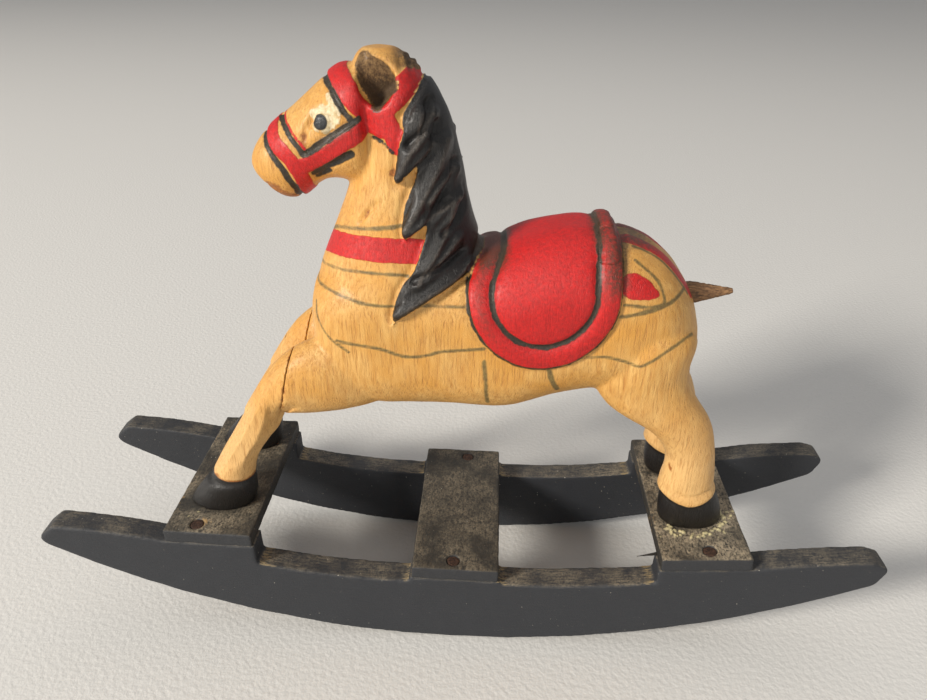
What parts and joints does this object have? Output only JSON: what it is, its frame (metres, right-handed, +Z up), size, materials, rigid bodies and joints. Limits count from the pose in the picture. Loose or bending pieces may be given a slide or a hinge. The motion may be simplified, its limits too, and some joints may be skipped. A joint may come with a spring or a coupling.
{
  "type": "rocking horse figurine",
  "caption": "Carved and painted wooden rocking horse figurine standing on a slatted rocker base, with red saddle and bridle, black mane and hooves.",
  "frame": {"origin": "centre of the rocker base's footprint, on the ground the rockers touch", "axes": "+Z up, +X towards the tail so that the horse faces -X, +Y across the rockers towards the horse's right-hand side"},
  "size_m": [0.1698, 0.039, 0.1163],
  "materials": {
    "horse_wood": "honey stain under worn varnish, painted red and black",
    "rocker_paint": "worn matte charcoal paint",
    "slat_wood": "dark stained wood, dusty and scuffed",
    "raw_wood": "bare wood",
    "nail_steel": "rusted"
  },
  "bodies": {
    "root": {"left_rocker": "rocker_paint", "right_rocker": "rocker_paint", "front_slat": "slat_wood", "centre_slat": "slat_wood", "rear_slat": "slat_wood", "front_slat_left_nail": "nail_steel", "front_slat_right_nail": "nail_steel", "centre_slat_left_nail": "nail_steel", "centre_slat_right_nail": "nail_steel", "rear_slat_left_nail": "nail_steel", "rear_slat_right_nail": "nail_steel", "left_fore_hoof_nail": "nail_steel", "right_fore_hoof_nail": "nail_steel", "left_hind_hoof_nail": "nail_steel", "right_hind_hoof_nail": "nail_steel", "horse_carving": "horse_wood", "left_foreleg": "horse_wood", "right_foreleg": "horse_wood", "left_foreleg_dowel": "raw_wood", "right_foreleg_dowel": "raw_wood", "tail_peg": "raw_wood"}
  },
  "joints": []
}
